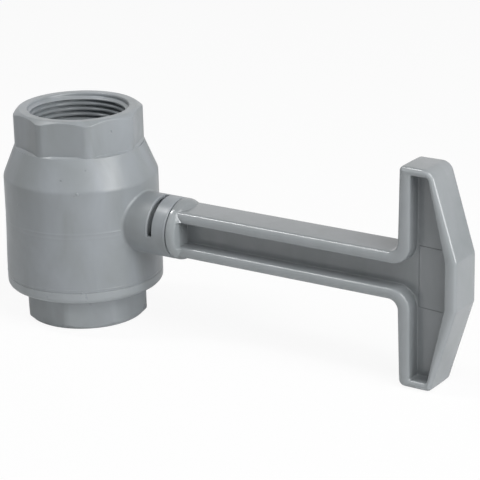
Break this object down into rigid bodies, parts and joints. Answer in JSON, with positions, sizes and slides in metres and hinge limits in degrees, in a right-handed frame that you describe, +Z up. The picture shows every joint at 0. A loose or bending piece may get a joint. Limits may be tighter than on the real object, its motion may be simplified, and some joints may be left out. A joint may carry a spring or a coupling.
{
  "type": "sink drain valve",
  "caption": "Moulded quarter-turn ball valve for a sink drain, with threaded octagonal ends in line and a long T-handle that turns in a slotted neck.",
  "frame": {"origin": "centre of the outlet face, on the flow axis", "axes": "+Z up along the flow axis from the outlet to the inlet, +X from the flow axis along the handle's axis to the T-bar, Y across the handle"},
  "size_m": [0.2131, 0.0656, 0.0896],
  "materials": {
    "casing_plastic": "satin moulded grey",
    "handle_plastic": "semi-gloss moulded grey",
    "ball_plastic": "smooth moulded grey",
    "seat_plastic": "waxy white",
    "seal_rubber": "black rubber"
  },
  "bodies": {
    "casing": {"body": "casing_plastic", "end_connector": "casing_plastic", "body_o_ring": "seal_rubber", "upper_seat": "seat_plastic", "lower_seat": "seat_plastic", "upper_seat_cushion": "seal_rubber", "lower_seat_cushion": "seal_rubber", "slip_washer": "seat_plastic"},
    "handle": {"t_handle": "handle_plastic", "spindle": "ball_plastic", "inner_spindle_o_ring": "seal_rubber", "outer_spindle_o_ring": "seal_rubber"},
    "ball": {"ball": "ball_plastic"}
  },
  "joints": [
    {"name": "handle_turn", "type": "hinge", "parent": "casing", "child": "handle", "pos_m": [0, 0, 0.04455], "axis": [1, 0, 0], "range_deg": [0, 90]},
    {"name": "ball_turn", "type": "hinge", "parent": "casing", "child": "ball", "pos_m": [0, 0, 0.04455], "axis": [1, 0, 0], "range_deg": [0, 90]}
  ],
  "couplings": [
    {"joint": "ball_turn", "follows": "handle_turn", "ratio": 1}
  ]
}
